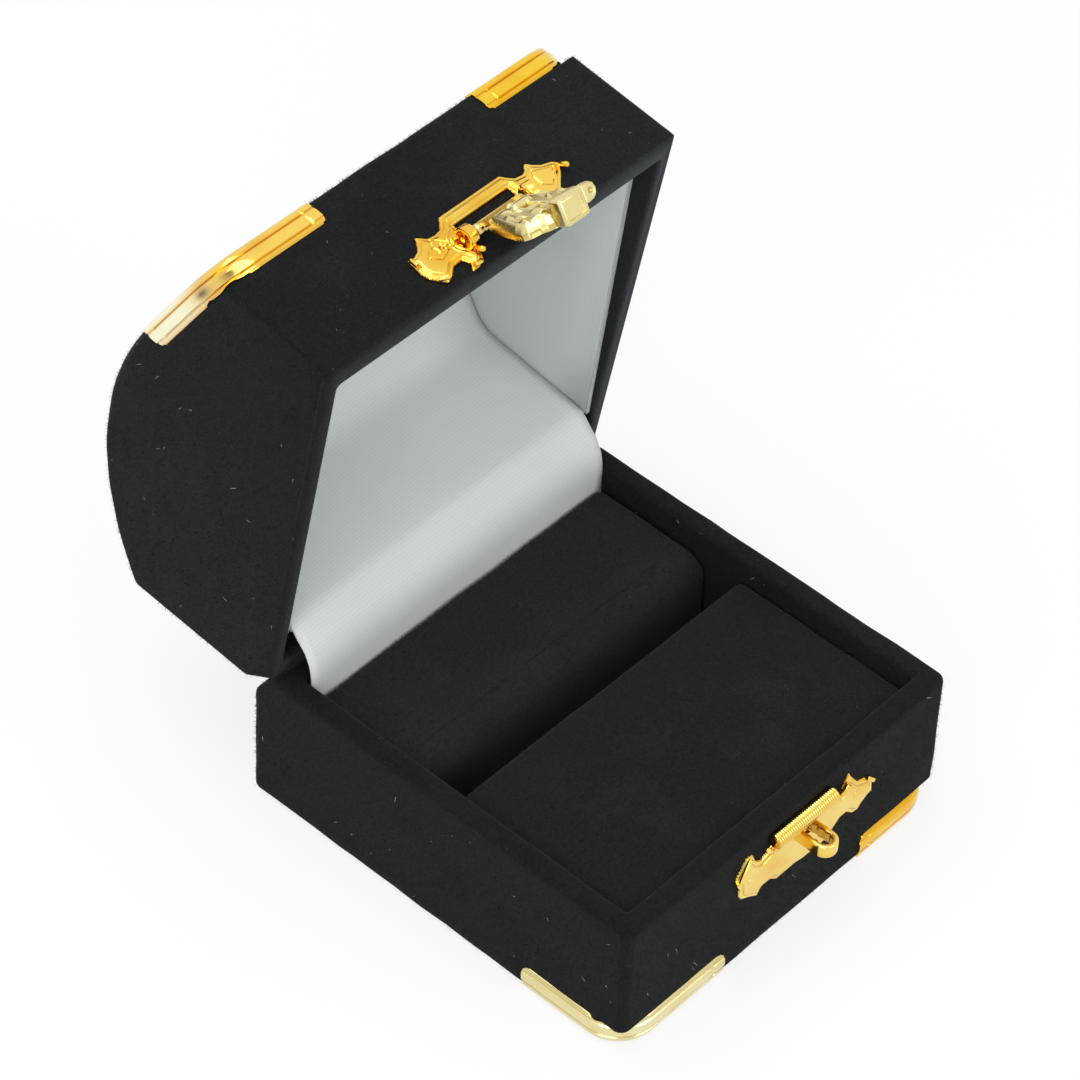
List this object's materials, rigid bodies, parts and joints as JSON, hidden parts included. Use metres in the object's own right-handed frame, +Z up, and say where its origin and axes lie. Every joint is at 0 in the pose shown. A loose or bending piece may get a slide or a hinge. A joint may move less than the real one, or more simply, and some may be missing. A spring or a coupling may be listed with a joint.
{
  "type": "ring box",
  "caption": "Black velvet chest-shaped ring box with a domed hinged lid, slotted ring pad, satin lining, brass corner trims and a swinging brass hasp.",
  "frame": {"origin": "centre of the base's footprint, on the surface the box stands on", "axes": "+Z up, -Y out of the front wall that carries the clasp, +X to the right as one faces the clasp"},
  "size_m": [0.0486, 0.0757, 0.0745],
  "materials": {
    "moulded_shell": "matt",
    "black_velvet": "flocked velvet",
    "black_velvet_paper": "flocked paper",
    "flocked_foam": "flocked velvet",
    "card": "grey board",
    "white_satin": "satin weave",
    "brass_trim": "polished",
    "gilt_brass": "polished, stamped",
    "pale_gilt_brass": "polished, stamped",
    "brass_pin": "polished",
    "hinge_steel": "brass washed"
  },
  "bodies": {
    "base": {"base_shell": "moulded_shell", "base_velvet_cover": "black_velvet", "base_bottom_sheet": "black_velvet_paper", "pad_support_card": "card", "ring_pad_front": "flocked_foam", "ring_pad_rear": "flocked_foam", "base_corner_trim_left": "brass_trim", "base_corner_trim_right": "brass_trim", "base_trim_nails": "brass_pin", "catch_plate": "gilt_brass", "catch_plate_pins": "brass_pin", "catch_staple": "gilt_brass", "hinge_leaf_base": "hinge_steel", "hinge_pin": "hinge_steel", "hinge_rivets_base": "hinge_steel", "satin_curtain": "white_satin"},
    "lid": {"lid_shell": "moulded_shell", "lid_velvet_cover": "black_velvet", "lid_lining_card": "card", "lid_cheek_card_left": "card", "lid_cheek_card_right": "card", "lid_satin_lining": "white_satin", "lid_satin_cheek_left": "white_satin", "lid_satin_cheek_right": "white_satin", "lid_corner_trim_left": "brass_trim", "lid_corner_trim_right": "brass_trim", "lid_trim_nails": "brass_pin", "clasp_plate": "gilt_brass", "clasp_plate_pins": "brass_pin", "clasp_pivot_pin": "brass_pin", "hinge_leaf_lid": "hinge_steel", "hinge_rivets_lid": "hinge_steel"},
    "hasp": {"hasp": "pale_gilt_brass"}
  },
  "joints": [
    {"name": "lid_hinge", "type": "hinge", "parent": "base", "child": "lid", "pos_m": [0, 0.0222, 0.0177], "axis": [1, 0, 0], "range_deg": [0, 80.4], "deforming": ["satin_curtain"]},
    {"name": "hasp_pivot", "type": "hinge", "parent": "lid", "child": "hasp", "pos_m": [0.0019, 0.01763, 0.06632], "axis": [-1, 0, 0], "range_deg": [-42, 103]}
  ]
}
